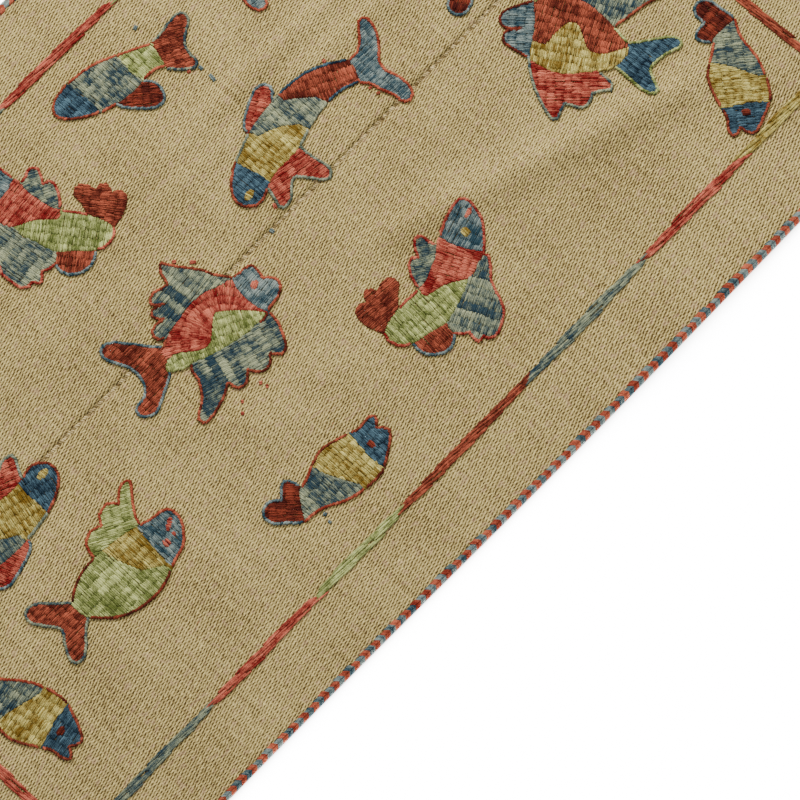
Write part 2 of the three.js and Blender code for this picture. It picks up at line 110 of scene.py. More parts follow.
class RugThread(bpy.types.PropertyGroup):
    """The embroidery wool and how it is laid."""
    pitch: length("Pitch", "From one satin stitch to the next", 1.4)
    row: length("Row", "Width of one row of satin stitches", 7.2)
    loft: length("Loft", "Height of a satin stitch's middle over the cloth", 1.3)
    outline_width: length("Outline width", "Width of the stem stitch round a fish", 2.9)
    outline_step: length("Outline step", "From one stem stitch to the next", 2.5)
    border_thread: length("Border thread", "Width of one long border stitch", 1.5)


# The deep and the pale tone of each wool. Moss is grey-green, and the seam is undyed.
WOOLS = {
    "dark_blue": ((14, 36, 52), (94, 125, 139)),
    "slate": ((38, 62, 74), (180, 184, 143)),
    "pale_blue": ((36, 66, 78), (158, 171, 162)),
    "gold": ((116, 86, 14), (236, 220, 128)),
    "green": ((94, 104, 44), (217, 222, 141)),
    "red": ((120, 7, 10), (230, 126, 98)),
    "brick": ((84, 22, 8), (198, 99, 70)),
    "dark_red": ((66, 12, 4), (152, 64, 42)),
    "rust": ((130, 42, 26), (212, 112, 80)),
    "moss": ((81, 92, 79), (177, 184, 153)),
    "undyed": ((106, 83, 44), (243, 216, 154)),
}


class RugWools(bpy.types.PropertyGroup):
    """The dyed wools. Each runs from a deep tone to a pale one along its yarn."""


RugWools.__annotations__ = {
    f"{wool}_{end}": dye(
        f"{wool.replace('_', ' ').capitalize()}, {end}",
        f"{end.capitalize()} tone of the {wool.replace('_', ' ')} wool", colour)
    for wool, tones in WOOLS.items() for end, colour in zip(("deep", "pale"), tones)}


class RugStage(bpy.types.PropertyGroup):
    """The floor, the light and the camera."""
    azimuth: FloatProperty(
        name="Azimuth", description="Turn of the camera round the rug", unit="ROTATION",
        subtype="ANGLE", default=math.radians(42.8))
    elevation: FloatProperty(
        name="Elevation", description="Height of the camera over the floor", unit="ROTATION",
        subtype="ANGLE", default=math.radians(74))
    distance: FloatProperty(
        name="Distance", description="From the camera to what it points at", unit="LENGTH",
        subtype="DISTANCE", default=2.381)
    lens: FloatProperty(
        name="Lens", description="Focal length of the camera, in millimetres", default=135)
    aim: FloatVectorProperty(
        name="Aim", description="The point that the camera looks at", unit="LENGTH",
        subtype="TRANSLATION", size=3, default=(0.172, -0.008, 0))
    key: FloatProperty(
        name="Key", description="Strength of the main light", unit="POWER", default=109)
    fill: FloatProperty(
        name="Fill", description="Strength of the light from all round", default=0.62)
    floor_glow: FloatProperty(
        name="Floor glow", description="How much the lit floor glows white", default=16.0)


# ---- how the rug lies ----
FLAT_HALF = 0.15  # the long edge strays only further out than this
SWAY_MIDDLE = 0.068  # where the edge crosses its straight line, at minus this y
SWAY_LENGTH = 0.3
KICK_MIDDLE = 0.21
KICK_LENGTH = 0.13
# The slow waves: how fast each turns across and along the rug, per metre, and its start.
WAVES = ((15.62, 6.02, 0.4), (-11.44, 12.18, 2.1), (26.4, 4.76, 4.0), (5.72, 18.9, 1.2))
# Soft folds in the cloth, in millimetres: where each one starts and ends, its half width, and
# its height beside the tallest.
FOLDS = (
    ((78, 100), (160, 330), 15, 1.0),
    ((-107, 80), (-100, 215), 11, 0.55),
    ((-74, 150), (-66, 290), 11, 0.5),
    ((-84, -60), (-78, 60), 10, 0.32),
    ((-108, -30), (-100, 60), 10, 0.32),
    ((-30, 40), (-22, 190), 12, 0.25),
    ((34, -170), (126, -75), 14, 0.3),
    ((107, -4), (196, -14), 12, 0.2),
)
FOLD_END = 2.5  # length over which a fold dies away, beside its half width


def fold_rise(x, y):
    """How far the soft folds lift points of the flat rug, as a share of the tallest."""
    rise = 0.0
    for start, end, half_width, share in FOLDS:
        start, end = Vector(start) * MM, Vector(end) * MM
        run = (end - start).length
        way = (end - start) / run
        along = (x - start.x) * way.x + (y - start.y) * way.y
        off = (x - start.x) * way.y - (y - start.y) * way.x
        past = np.maximum(0.0, np.abs(along - run / 2) - run / 2) / FOLD_END
        rise = rise + share * np.exp(-(off * off + past * past) / (half_width * MM) ** 2)
    return rise


def lie(x, y):
    """Where points of the flat rug lie: their x and their height over the floor."""
    cloth = bpy.context.scene.rug_cloth
    out = np.maximum(0.0, (x - FLAT_HALF) / (HALF_WIDTH - FLAT_HALF))
    side = cloth.sway * np.tanh((y + SWAY_MIDDLE) / SWAY_LENGTH) * out * out
    ripple = sum(np.sin(a * x + b * y + c) for a, b, c in WAVES) / len(WAVES)
    kick = cloth.kick * out ** 3 * np.exp(-((y - KICK_MIDDLE) / KICK_LENGTH) ** 2)
    return x + side, cloth.wave * (0.5 + 0.5 * ripple) + kick + cloth.fold * fold_rise(x, y)


# Painted light: a thread's colour is made paler on its crown, a painted highlight, and deeper down
# its sides, painted shade in the groove beside its neighbour.
CROWN_HIGHLIGHT = 0.13
GROOVE_SHADE = 0.42
BEAD_SIDES = 6
BEAD_RINGS = 5
BLUNT = 0.6  # 0 draws a bead out to a spindle, and 1 to a thread of one width
POLE = 1e-3  # a ring of the bead smaller than this is one of its two poles
TINY = 1e-9


def linked(name, data):
    """A new object in the scene, from a mesh, a camera or a lamp."""
    made = bpy.data.objects.new(name, data)
    bpy.context.collection.objects.link(made)
    return made


def mesh_from(bm, name):
    """A new mesh from a bmesh, which is freed."""
    mesh = bpy.data.meshes.new(name)
    bm.to_mesh(mesh)
    bm.free()
    return mesh


class Sewing:
    """A piece made of many stitches, each with its own tone of the wool."""

    def __init__(self, name):
        self.name = name
        self.stitches = []
        self.wools = []

    def use(self, wool):
        """The number of a wool's material on this piece."""
        if wool not in self.wools:
            self.wools.append(wool)
        return self.wools.index(wool)

    def thread(self, start, end, wide, high, low_z, arch, tone, wool=0):
        """One stitch from start to end, arched over the cloth."""
        self.stitches.append(
            (start[0], start[1], end[0], end[1], wide, high, low_z, arch, tone, wool))

    def copies(self):
        """A mesh with one round bead for each stitch."""
        bm = bmesh.new()
        bmesh.ops.create_uvsphere(
            bm, u_segments=BEAD_SIDES, v_segments=BEAD_RINGS, radius=1)
        for face in bm.faces:
            face.smooth = True
        row = linked("beads", mesh_from(bm, "bead"))
        array = row.modifiers.new("copies", "ARRAY")
        array.count = len(self.stitches)
        array.use_relative_offset = False
        mesh = bpy.data.meshes.new_from_object(
            row.evaluated_get(bpy.context.evaluated_depsgraph_get()))
        mesh.name = self.name
        bpy.data.objects.remove(row)
        return mesh

    def finish(self, slot_name, replaced=()):
        """The finished piece, riding on the rug: each bead is drawn out to its thread."""
        mesh = self.copies()
        count = len(self.stitches)
        each = len(mesh.vertices) // count
        bead = np.empty(len(mesh.vertices) * 3, dtype=np.float32)
        mesh.vertices.foreach_get("co", bead)
        across, up, t = (bead.reshape(count, each, 3)[:, :, i].astype(float) for i in range(3))
        numbers = np.array(self.stitches, dtype=float)[:, :, None]
        x0, y0, x1, y1, wide, high, low_z, arch, tone, wool = (numbers[:, i] for i in range(10))
        half_x, half_y = (x1 - x0) / 2, (y1 - y0) / 2
        half = np.hypot(half_x, half_y) + TINY
        ring = np.sqrt(np.maximum(0.0, 1 - t * t))
        swell = np.where(ring > POLE, np.maximum(ring, POLE) ** -BLUNT, 0.0)
        x = (x0 + x1) / 2 + half_x * t + half_y / half * across * swell * wide
        y = (y0 + y1) / 2 + half_y * t - half_x / half * across * swell * wide
        x, rise = lie(x, y)
        z = np.maximum(0.0, rise + low_z + arch * (1 - t * t) + up * swell * high)
        mesh.vertices.foreach_set("co", np.stack([x, y, z], axis=2).astype(np.float32).ravel())
        tones = mesh.attributes.new("tone", "FLOAT", "POINT")
        # The tone carries a painted highlight on each thread's crown and painted shade down its
        # sides and underside.
        shaded = tone + CROWN_HIGHLIGHT - GROOVE_SHADE * (1 - up * swell)
        tones.data.foreach_set("value", shaded.astype(np.float32).ravel())
        faces = len(mesh.polygons) // count
        mesh.polygons.foreach_set(
            "material_index", np.broadcast_to(wool, (count, faces)).astype(np.int32).ravel())
        piece = linked(self.name, mesh)
        for name in self.wools:
            mesh.materials.append(wool_material(name))
        mesh.update()
        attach(piece, BODY)
        if replaced:
            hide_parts(*replaced)
        return piece


# ---- shader maths ----
def maths(operation):
    """A method that feeds a Reading, and any others, to one Math node."""
    def method(reading, *others):
        return reading.paint.node(
            "ShaderNodeMath", {"operation": operation}, dict(enumerate([reading, *others])))[0]
    return method


class Reading:
    """A shader socket, so that maths on what varies over a surface reads as ordinary maths."""

    def __init__(self, paint, socket):
        self.paint = paint
        self.socket = socket

    __add__ = __radd__ = maths("ADD")
    __mul__ = __rmul__ = maths("MULTIPLY")
    __sub__ = maths("SUBTRACT")
    __truediv__ = maths("DIVIDE")
    __pow__ = maths("POWER")
    __gt__ = maths("GREATER_THAN")
    sin = maths("SINE")
    cos = maths("COSINE")
    whole = maths("ROUND")
    at_least = maths("MAXIMUM")
    at_most = maths("MINIMUM")

    def __rsub__(self, other):
        return self.paint.node(
            "ShaderNodeMath", {"operation": "SUBTRACT"}, {0: other, 1: self})[0]

    def between(self, low, high):
        return self.at_least(low).at_most(high)


MIX_SHARE, MIX_FIRST, MIX_SECOND = 0, 6, 7  # a Mix node's colour sockets, by number


class Paint:
    """The node tree of one material."""

    def __init__(self, name):
        self.material = bpy.data.materials.new(name)
        self.material.use_nodes = True
        self.tree = self.material.node_tree
        self.shader = next(n for n in self.tree.nodes if n.type == "BSDF_PRINCIPLED")

    def node(self, kind, settings=None, sockets=None):
        """A new node, its settings made first and then its sockets, and its outputs."""
        made = self.tree.nodes.new(kind)
        for name, value in (settings or {}).items():
            setattr(made, name, value)
        for key, value in (sockets or {}).items():
            self.feed(made.inputs[key], value)
        return [Reading(self, output) for output in made.outputs if output.enabled]

    def feed(self, socket, value):
        if isinstance(value, Reading):
            self.tree.links.new(value.socket, socket)
        else:
            socket.default_value = value

    def mix(self, share, first, second):
        """A mix of two colours, each a socket or red, green and blue."""
        first, second = (c if isinstance(c, Reading) else (*c, 1.0) for c in (first, second))
        return self.node(
            "ShaderNodeMix", {"data_type": "RGBA", "clamp_factor": True},
            {MIX_SHARE: share, MIX_FIRST: first, MIX_SECOND: second})[0]

    def noise(self, vector, scale, detail=2.0, roughness=0.5):
        return self.node(
            "ShaderNodeTexNoise", None,
            {"Vector": vector, "Scale": scale, "Detail": detail, "Roughness": roughness})[0]

    def vector(self, x, y, z=0.0):
        return self.node("ShaderNodeCombineXYZ", None, {0: x, 1: y, 2: z})[0]

    def bump(self, height, distance, strength=1.0):
        return self.node(
            "ShaderNodeBump", None,
            {"Height": height, "Distance": distance, "Strength": strength})[0]


# ---- the look of the ground ----
# Noise scales are per metre, and strays are in yarns.
DRIFT_ACROSS, DRIFT_ALONG, JITTER, CLOUD = 38.0, 61.0, 300.0, 14.0
STRAY_ACROSS, STRAY_ALONG, STRAY_JITTER = 1.6, 0.9, 1.3
SEAM_REACH = 6 * MM  # how far from the seam its pull shows
SEAM_STRAY = 3.0
SLANT = 0.09
RIDGE, CROSS_RIDGE, GRAIN_MIDDLE = 0.31, 0.21, 0.48  # the twill-like line that the floats make
# Shares of the light: the grain, whose low parts are painted shade in the gaps between yarns,
# each float, its fibres, each warp and weft yarn, and clouds.
GRAIN, EACH, FIBRES, WARP, WEFT, CLOUDS = 1.08, 1.15, 0.5, 0.3, 0.25, 0.4
# SEAM_SHADE is painted shade that darkens the ground within SEAM_REACH of the seam. SHADE lowers
# the whole ground's tone evenly.
SEAM_SHADE, SHADE = 0.08, 0.06
BLUSH, BLUSH_FROM, BLUSH_RATE, BLUSH_MOST = srgb(214, 170, 138), 0.56, 3.0, 0.36
FLECK_RED, FLECK_BLUE, FLECK_SHARE = srgb(176, 96, 70), srgb(104, 118, 116), 0.4
FLECKS_OVER, FLECKS_UNDER = 0.765, 0.236  # the few highest and lowest floats are flecked
BUMP_FIBRES, BUMP_EACH = 0.35, 0.3


def ground_material():
    """Coarse undyed wool in plain weave: floats of the warp, set like bricks."""
    if GROUND in bpy.data.materials:
        return bpy.data.materials[GROUND]
    cloth = bpy.context.scene.rug_cloth
    paint = Paint(GROUND)
    flat = paint.node("ShaderNodeUVMap", {"uv_map": "flat"})[0]
    u, v, _ = paint.node("ShaderNodeSeparateXYZ", None, {0: flat})

    # a and b count the yarns across and along, each straying as handspun yarn does.
    drift = paint.noise(flat, DRIFT_ACROSS, 2.0) - 0.5
    drift_along = paint.noise(flat, DRIFT_ALONG, 2.0) - 0.5
    near_seam = (1.0 - (u * u) / SEAM_REACH ** 2).between(0.0, 1.0)
    jitter = paint.noise(flat, JITTER, 1.0) - 0.5
    a = u / cloth.warp_pitch + drift * STRAY_ACROSS + jitter * STRAY_JITTER
    b = v / cloth.weft_pitch + drift_along * STRAY_ALONG + near_seam * drift * SEAM_STRAY
    slant = (b * math.tau).sin() * SLANT
    ridge = ((a + slant + b) * math.pi).cos()
    other = ((a + slant - b) * math.pi).cos()
    grain = ridge * RIDGE + other * CROSS_RIDGE + GRAIN_MIDDLE

    # Floats, yarns and patches of the cloth differ in tone.
    each = paint.noise(paint.vector(a * 0.7, b * 0.8), 1.0, 1.0) - 0.5
    warp_tone = paint.noise(paint.vector(a.whole() * 1.7, v * 16.0), 1.0, 1.0) - 0.5
    weft_tone = paint.noise(paint.vector(u * 9.0, b.whole() * 2.3), 1.0, 1.0) - 0.5
    cloud = paint.noise(flat, CLOUD, 3.0) - 0.5
    fibre = paint.noise(paint.vector(a * 3.1, b * 1.3), 1.0, 3.0, 0.7) - 0.5
    light = grain * GRAIN + each * EACH + fibre * FIBRES + warp_tone * WARP + weft_tone * WEFT
    # Painted shade darkens the ground near the seam.
    light = light + cloud * CLOUDS - near_seam * SEAM_SHADE - SHADE
    # Mixed toward the shadow colour: painted shade where the grain sinks into the gaps between
    # yarns, and the cloth's own deeper tone where the other shares are low.
    colour = paint.mix(light.between(0.0, 1.0), cloth.shadow, cloth.straw)

    # A blush of warmer wool, and a few flecks of dyed fibre.
    blush = paint.noise(paint.vector(a * 0.23, b * 0.4), 1.0, 2.0)
    blush = ((blush - BLUSH_FROM) * BLUSH_RATE).between(0.0, BLUSH_MOST)
    colour = paint.mix(blush, colour, BLUSH)
    fleck = paint.noise(paint.vector(a * 0.6, b * 0.6, 7.0), 1.0, 1.0)
    colour = paint.mix((fleck > FLECKS_OVER) * FLECK_SHARE, colour, FLECK_RED)
    colour = paint.mix((FLECKS_UNDER - fleck > 0.0) * FLECK_SHARE, colour, FLECK_BLUE)
    height = grain + fibre * BUMP_FIBRES + each * BUMP_EACH
    paint.feed(paint.shader.inputs["Base Color"], colour)
    paint.feed(paint.shader.inputs["Roughness"], 0.95)
    paint.feed(paint.shader.inputs["Specular IOR Level"], 0.15)
    paint.feed(paint.shader.inputs["Normal"], paint.bump(height, cloth.relief))
    return paint.material


# ---- the look of the dyed wools ----
# Noise scales are per metre. Each has its share in how the tone varies.
FIBRE_SCALE, PATCH_SCALE, BATCH_SCALE = 1150.0, 260.0, 95.0
FIBRE_SHARE, PATCH_SHARE, BATCH_SHARE = 1.4, 0.75, 1.1
TONE_BEND = 1.4  # over 1, more of the wool is deep than pale
WOOL_RELIEF = 0.8 * MM


def wool_material(wool):
    """Dyed wool whose tone runs from deep to pale, with a soft fuzz of fibres."""
    name = f"{wool} wool".replace("_", " ")
    if name in bpy.data.materials:
        return bpy.data.materials[name]
    wools = bpy.context.scene.rug_wools
    deep, pale = getattr(wools, f"{wool}_deep"), getattr(wools, f"{wool}_pale")
    paint = Paint(name)
    # The tone attribute holds each stitch's own tone together with its painted highlight and
    # painted shade.
    tone = paint.node("ShaderNodeAttribute", {"attribute_name": "tone"})[2]
    place = paint.node("ShaderNodeTexCoord")[3]
    fibre = paint.noise(place, FIBRE_SCALE, 2.0, 0.6) - 0.5
    patchy = paint.noise(place, PATCH_SCALE, 1.0) - 0.5
    batch = paint.noise(place, BATCH_SCALE, 1.0) - 0.5
    share = tone + fibre * FIBRE_SHARE + patchy * PATCH_SHARE + batch * BATCH_SHARE
    share = share.between(0.0, 1.0) ** TONE_BEND
    colour = paint.mix(share, deep, pale)
    paint.feed(paint.shader.inputs["Base Color"], colour)
    paint.feed(paint.shader.inputs["Roughness"], 0.85)
    paint.feed(paint.shader.inputs["Specular IOR Level"], 0.2)
    paint.feed(paint.shader.inputs["Normal"], paint.bump(fibre, WOOL_RELIEF))
    return paint.material


# ---- the woven ground ----
SEAM_GAP = 0.1 * MM  # from the seam to the cloth
RIM_UNDER_BINDING = 1.5 * MM  # how far the cloth's rim lies outside the binding's inner edge
CLOTH_LIFT = 0.2 * MM  # the cloth's back over the floor


def weave_strip(name, side, node):
    """One strip of cloth, with its flat place kept as a UV map for the weave."""
    cloth = bpy.context.scene.rug_cloth
    inner = SEAM_EDGE + SEAM_GAP
    outer = EDGE_LOW.x + RIM_UNDER_BINDING
    reach = HALF_LENGTH - (HALF_WIDTH - outer)
    columns = round((outer - inner) / cloth.cell)
    rows = round(2 * reach / cloth.cell)
    bm = bmesh.new()
    bmesh.ops.create_grid(
        bm, x_segments=columns, y_segments=rows, size=0.5,
        matrix=Matrix.Translation((side * (inner + outer) / 2, 0, CLOTH_TOP))
        @ Matrix.Diagonal((outer - inner, 2 * reach, 1, 1)))
    flat = bm.loops.layers.uv.new("flat")
    for face in bm.faces:
        face.smooth = True
        for loop in face.loops:
            loop[flat].uv = loop.vert.co.xy
    bmesh.ops.solidify(bm, geom=bm.faces, thickness=CLOTH_TOP - CLOTH_LIFT)
    for v in bm.verts:
        v.co.x, rise = lie(v.co.x, v.co.y)
        v.co.z = max(0.0, v.co.z + rise)
    bmesh.ops.recalc_face_normals(bm, faces=bm.faces)
    strip = linked(name, mesh_from(bm, name))
    strip.data.materials.append(ground_material())
    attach(strip, BODY)
    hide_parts(node)
    return strip


# ---- the fish ----
# Each patch: its wool, the wool of the outline round it, and how its rows lie. Rows are
# straight at an angle from the fish's own +X, or curve round a centre in the fish's own frame.
# The last word says whether the tone changes by block, by row or by column of stitches.
DRAWINGS = {
    "a": {
        "head": ("dark_blue", "brick", 0, "block"), "shoulder": ("slate", "rust", 0, "block"),
        "loin": ("green", "rust", 0, "block"), "tail": ("brick", "slate", 60, "block"),
        "side_fin": ("dark_red", "pale_blue", 50, "block")},
    "b": {
        "head": ("dark_blue", "brick", 0, "plain"), "shoulder": ("gold", "moss", 0, "column"),
        "belly": ("slate", "slate", 0, "column"), "loin": ("brick", "dark_blue", -25, "row"),
        "tail": ("pale_blue", "rust", 90, "block"), "back_fin": ("red", "moss", 80, "block"),
        "belly_fin": ("red", "pale_blue", 30, "block")},
    "c": {
        "lips": ("pale_blue", "dark_red", 80, "block"), "side": ("gold", "gold", -20, "block"),
        "flank": ("brick", "green", -25, "block"), "tail": ("dark_blue", "green", 45, "plain"),
        "belly_fin": ("red", "slate", 82, "block"), "back_fin": ("slate", "brick", 150, "row")},
    "e": {
        "head": ("pale_blue", "brick", 140, "block"), "belly": ("green", "green", 18, "block"),
        "back": ("red", "brick", (18, -12), "block"), "back_fin": ("slate", "brick", 140, "row"),
        "belly_fin": ("slate", "brick", -62, "row"), "tail": ("brick", "pale_blue", -45, "block")},
    "f": {
        "head": ("pale_blue", "red", 110, "block"), "shoulder": ("red", "red", 28, "block"),
        "body": ("green", "red", 0, "column"), "back_fin": ("slate", "red", 60, "block"),
        "belly_fin": ("slate", "red", -62, "row"), "vent_fin": ("brick", "pale_blue", 0, "row"),
        "tail": ("brick", "", 90, "column")},
    "g": {
        "head": ("dark_blue", "brick", 0, "plain"), "shoulder": ("gold", "brick", 0, "column"),
        "loin": ("slate", "rust", 0, "column"), "tail": ("dark_red", "pale_blue", 45, "block")},
    "h": {
        "head": ("pale_blue", "rust", 0, "block"), "side": ("gold", "dark_red", 0, "column"),
        "belly": ("green", "dark_red", 0, "block"), "tail": ("brick", "slate", 90, "block"),
        "back_fin": ("green", "rust", 60, "block")},
}
# Where each fish lies: the middle of its drawing, in millimetres, and the turn of its nose.
WORKED = {
    "a": ((-170, 75), -90), "b": ((-42, 105), -90), "c": ((75, 322), -130),
    "e": ((15, -70), 45), "f": ((138, 80), 85), "g": ((176, -92), 90), "h": ((105, -235), 90)}
REPEATED = {
    "d": ("g", (-65, 302), 160, False), "i": ("g", (178, 384), -40, True),
    "j": ("b", (-176, 245), 84, True), "k": ("h", (-78, 391), 178, False),
    "l": ("f", (-138, -98), 215, True), "m": ("a", (-118, -216), 168, True),
    "n": ("c", (-152, -358), 172, False), "o": ("b", (2, -316), 78, False),
    "p": ("g", (122, -392), 10, True)}
# Eyes, mouths and other small marks on a drawing: their name, their wool, their middle, size and
# turn, in millimetres and degrees in the fish's own frame.
MARKS = {
    "b": [("eye", "gold", (71, 9), (10, 6.5), 15)],
    "c": [("mouth", "dark_red", (58, -15), (14, 3.0), 0)],
    "e": [("mouth", "red", (42, 32), (5, 9), -20)],
    "f": [("eye", "gold", (48, 26), (6.5, 9), 0), ("mouth", "red", (60, 36), (9, 3), 18)],
    "g": [("eye", "dark_red", (41, -5), (5, 8.5), 0)],
    "h": [("mouth", "red", (29, -4), (11, 4), 28), ("eye", "red", (17, -13), (5.5, 6.5), 0),
          ("spot", "red", (26, -12), (2.5, 4), 0)]}
# Stray stitches beside a fish: wool, middle, length and turn, in the fish's own frame.
STRAYS = {
    "a": [("pale_blue", (-13, 44), 9, 80), ("pale_blue", (-13, 31), 5, 90),
          ("red", (-4, 26), 4, 60), ("pale_blue", (-2, -33), 5, 20)],
    "b": [("red", (63, 30), 6, 60), ("red", (-55, -26), 4, 10), ("pale_blue", (80, 43), 5, 100),
          ("red", (-65, 25), 3, 60), ("red", (-64, 17), 3, 80)],
    "e": [("red", (-22, 54), 4, 10), ("red", (-7, 53), 6, 0), ("red", (45, -50), 3, 0),
          ("red", (50, -53), 2.5, 0), ("red", (30, -65), 2.5, 0), ("red", (30, -75), 3, 0)],
    "g": [("pale_blue", (-25, -17), 4, 20), ("pale_blue", (-27, -24), 3, 0)]}

SAME_POINT = 0.01 * MM
TOUCHING = 1.2 * MM  # patches nearer than this share an edge, which takes no outline


def outline_of(node):
    """The rim of a patch's upper face, as a closed run of points."""
    bm = bmesh.new()
    bm.from_mesh(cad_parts[node].data)
    bmesh.ops.remove_doubles(bm, verts=bm.verts, dist=SAME_POINT)
    top = max(v.co.z for v in bm.verts) - SAME_POINT
    upper = [f for f in bm.faces if all(v.co.z > top for v in f.verts)]
    steps = {}
    for face in upper:
        for loop in face.loops:
            if not any(f in upper for f in loop.edge.link_faces if f is not face):
                steps[loop.vert.index] = loop.link_loop_next.vert.index
    bm.verts.ensure_lookup_table()
    best = []
    while steps:
        start, point = steps.popitem()
        run = [start]
        while point != start and point in steps:
            run.append(point)
            point = steps.pop(point)
        best = max(best, run, key=len)
    points = [bm.verts[i].co.xy for i in best]
    bm.free()
    return points


def resample(points, step):
    """Points evenly spaced along a closed outline."""
    made = []
    spare = 0.0
    for i, here in enumerate(points):
        ahead = points[(i + 1) % len(points)]
        span = (ahead - here).length
        while spare < span:
            made.append(here.lerp(ahead, spare / span))
            spare += step
        spare -= span
    return made


def gap_to(point, outline):
    """How far a point is from an outline."""
    best = math.inf
    for i, here in enumerate(outline):
        along = outline[(i + 1) % len(outline)] - here
        share = max(0.0, min(1.0, (point - here).dot(along) / (along.length_squared or TINY)))
        best = min(best, (here + along * share - point).length)
    return best


def crossings(outline, origin, direction):
    """Where a line crosses an outline, as distances along the line, in order."""
    normal = Vector((-direction.y, direction.x))
    found = []
    side = [(p - origin).dot(normal) for p in outline]
    for i, here in enumerate(side):
        ahead = side[(i + 1) % len(side)]
        if (here > 0) != (ahead > 0):
            p, q = outline[i], outline[(i + 1) % len(outline)]
            found.append((p.lerp(q, here / (here - ahead)) - origin).dot(direction))
    return sorted(found)


class Place:
    """Where a fish lies, and the way from its own frame to the rug's."""

    def __init__(self, middle, turn, mirror=False):
        self.middle = Vector(middle) * MM
        self.cos, self.sin = math.cos(math.radians(turn)), math.sin(math.radians(turn))
        self.flip = -1 if mirror else 1

    def out(self, point):
        x, y = point[0], point[1] * self.flip
        return Vector((x * self.cos - y * self.sin, x * self.sin + y * self.cos)) + self.middle

    def back(self, point):
        x, y = point - self.middle
        return Vector((x * self.cos + y * self.sin, (y * self.cos - x * self.sin) * self.flip))


# How the tone of a patch changes, for each style: by blocks, by columns and by rows.
TONE_WEIGHTS = {
    "block": (0.55, 0.15, 0.2), "column": (0.2, 0.55, 0.1),
    "row": (0.15, 0.1, 1.15), "plain": (0.1, 0.05, 0.08)}
TONE_MIDDLE, TONE_SPAN = 0.445, 0.42
BLOCK_LENGTH, COLUMN_LENGTH, ROW_LENGTH = 8.5 * MM, 10 * MM, 45 * MM


def tone_at(style, along, row, seed):
    """The tone of the wool at a place in a row, from 0, deep, to 1, pale."""
    def wander(x, y=0.0):
        return noise.noise(Vector((x, y, seed * 3.7))) * 1.7
    block = wander(along / BLOCK_LENGTH, row * 0.95)
    column = wander(along / COLUMN_LENGTH + 40)
    by_row = wander(math.floor(row) * 2.7 + 90, along / ROW_LENGTH)
    weights = TONE_WEIGHTS[style]
    mixed = block * weights[0] + column * weights[1] + by_row * weights[2]
    return TONE_MIDDLE + TONE_SPAN * mixed


ROUND_PITCH = 0.8  # rows round a centre keep the pitch at this share of their reach
ROW_STRAY = 1.0 * MM  # how far a stitch's end strays from the edge of its row
ROW_ROOM = 1.6 * MM  # least length that an end leaves beside it
SHORTEST_STITCH = 0.8 * MM
TONE_SPREAD = 0.16
OVERLAP = (0.5 * MM, 1.1 * MM)  # how far a stitch reaches past its place
SIDE_STRAY = 0.22 * MM
SATIN_HALF_WIDTH = 0.68  # beside the pitch
SATIN_HALF_HEIGHT = 0.72 * MM
SATIN_LIFT = 0.2 * MM  # its ends over the cloth
LOW_ARCH, MORE_ARCH, FULL_LENGTH = 0.3, 0.45, 5 * MM  # a long stitch arches higher


def round_lines(centre, outline, pitch, rng):
    """Lines for satin rows that curve round a centre."""
    reach = max((p - centre).length for p in outline) * ROUND_PITCH
    turns = round(math.tau * reach / pitch)
    lines = []
    for i in range(turns):
        angle = (i + rng.uniform(-0.25, 0.25)) * math.tau / turns
        direction = Vector((math.cos(angle), math.sin(angle)))
        lines.append((centre, direction, angle * reach, 0.0, 0.0))
    return lines


def straight_lines(angle, outline, pitch, rng):
    """Lines for straight satin rows at an angle."""
    along = Vector((math.cos(angle), math.sin(angle)))
    across = Vector((-along.y, along.x))
    low_x = min(p.dot(along) for p in outline)
    high_x = max(p.dot(along) for p in outline)
    low_y = min(p.dot(across) for p in outline)
    middle = (low_y + max(p.dot(across) for p in outline)) / 2
    count = max(1, math.ceil((high_x - low_x) / pitch))
    lines = []
    for i in range(count):
        at = low_x + (i + 0.5 + rng.uniform(-0.2, 0.2)) * (high_x - low_x) / count
        lines.append((along * at + across * middle, across, at, low_y - middle, -math.inf))
    return lines


def satin(sewing, place, outline, rows, style, rng, wool=0, low=0.0, seed=0.0, row_width=None):
    """Fills an outline, in the fish's own frame, with rows of satin stitches."""
    thread = bpy.context.scene.rug_thread
    if isinstance(rows, tuple):
        lines = round_lines(Vector(rows) * MM, outline, thread.pitch, rng)
    else:
        lines = straight_lines(math.radians(rows), outline, thread.pitch, rng)
    width = row_width or thread.row
    for origin, direction, at, base, least in lines:
        found = [d for d in crossings(outline, origin, direction) if d > least]
        for start, end in zip(found[::2], found[1::2]):
            cuts = [start]
            row = math.floor((start - base) / width) + 1
            while base + row * width < end:
                cut = base + row * width + rng.uniform(-ROW_STRAY, ROW_STRAY)
                if cut - cuts[-1] > ROW_ROOM and end - cut > ROW_ROOM:
                    cuts.append(cut)
                row += 1
            cuts.append(end)
            for a, b in zip(cuts, cuts[1:]):
                if b - a < SHORTEST_STITCH:
                    continue
                row = ((a + b) / 2 - base) / width
                tone = tone_at(style, at, row, seed) + rng.gauss(0, TONE_SPREAD)
                over = rng.uniform(*OVERLAP)
                beside = Vector((-direction.y, direction.x)) * SIDE_STRAY
                p = place.out(origin + direction * (a - over) + beside * rng.gauss(0, 1))
                q = place.out(origin + direction * (b + over) + beside * rng.gauss(0, 1))
                arch = thread.loft * (LOW_ARCH + MORE_ARCH * min(1.0, (b - a) / FULL_LENGTH))
                sewing.thread(
                    p, q, thread.pitch * SATIN_HALF_WIDTH, SATIN_HALF_HEIGHT,
                    CLOTH_TOP + low + SATIN_LIFT, arch * rng.uniform(0.8, 1.15), tone, wool)


STEM_INWARD = 0.08  # how far inside the rim the outline runs, beside its width
STEM_STRAY = 0.15 * MM
STEM_ALONG, STEM_LEAN = 0.92, 0.4  # the slant of one stitch to the rim
STEM_SEED = 5.5
STEM_HALF_WIDTH = 0.4  # beside the outline's width
STEM_HALF_HEIGHT, STEM_LIFT, STEM_ARCH = 0.8 * MM, 0.6 * MM, 0.9 * MM


